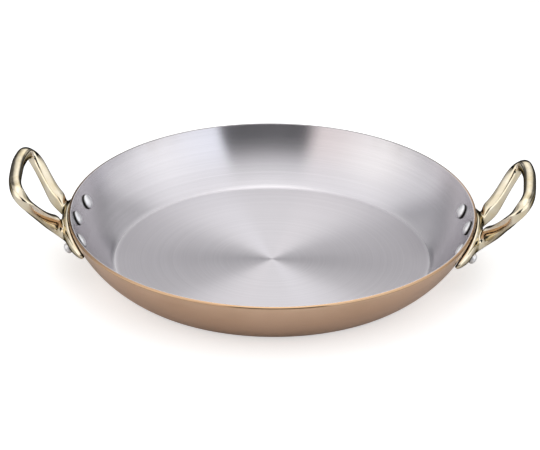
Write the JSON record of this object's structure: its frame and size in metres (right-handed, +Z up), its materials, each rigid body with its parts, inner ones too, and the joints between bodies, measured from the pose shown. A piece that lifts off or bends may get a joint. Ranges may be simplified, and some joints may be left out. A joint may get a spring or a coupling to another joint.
{
  "type": "shallow copper rondeau",
  "caption": "Wide shallow round copper pan with a bonded steel lining, a flared wall and riveted cast loop handles.",
  "frame": {"origin": "centre of the pan's underside, on the surface that it stands on", "axes": "+X through the handles, +Z up along the pan's axis"},
  "size_m": [0.41, 0.3192, 0.0778],
  "materials": {
    "copper": "satin polished copper",
    "lining_steel": "spun brushed stainless steel",
    "cast_brass": "polished cast brass",
    "rivet_steel": "bright steel"
  },
  "bodies": {
    "root": {"copper_body": "copper", "steel_lining": "lining_steel", "handle_right": "cast_brass", "handle_left": "cast_brass", "rivet_right_front": "rivet_steel", "rivet_right_middle": "rivet_steel", "rivet_right_back": "rivet_steel", "rivet_left_front": "rivet_steel", "rivet_left_middle": "rivet_steel", "rivet_left_back": "rivet_steel"}
  },
  "joints": []
}
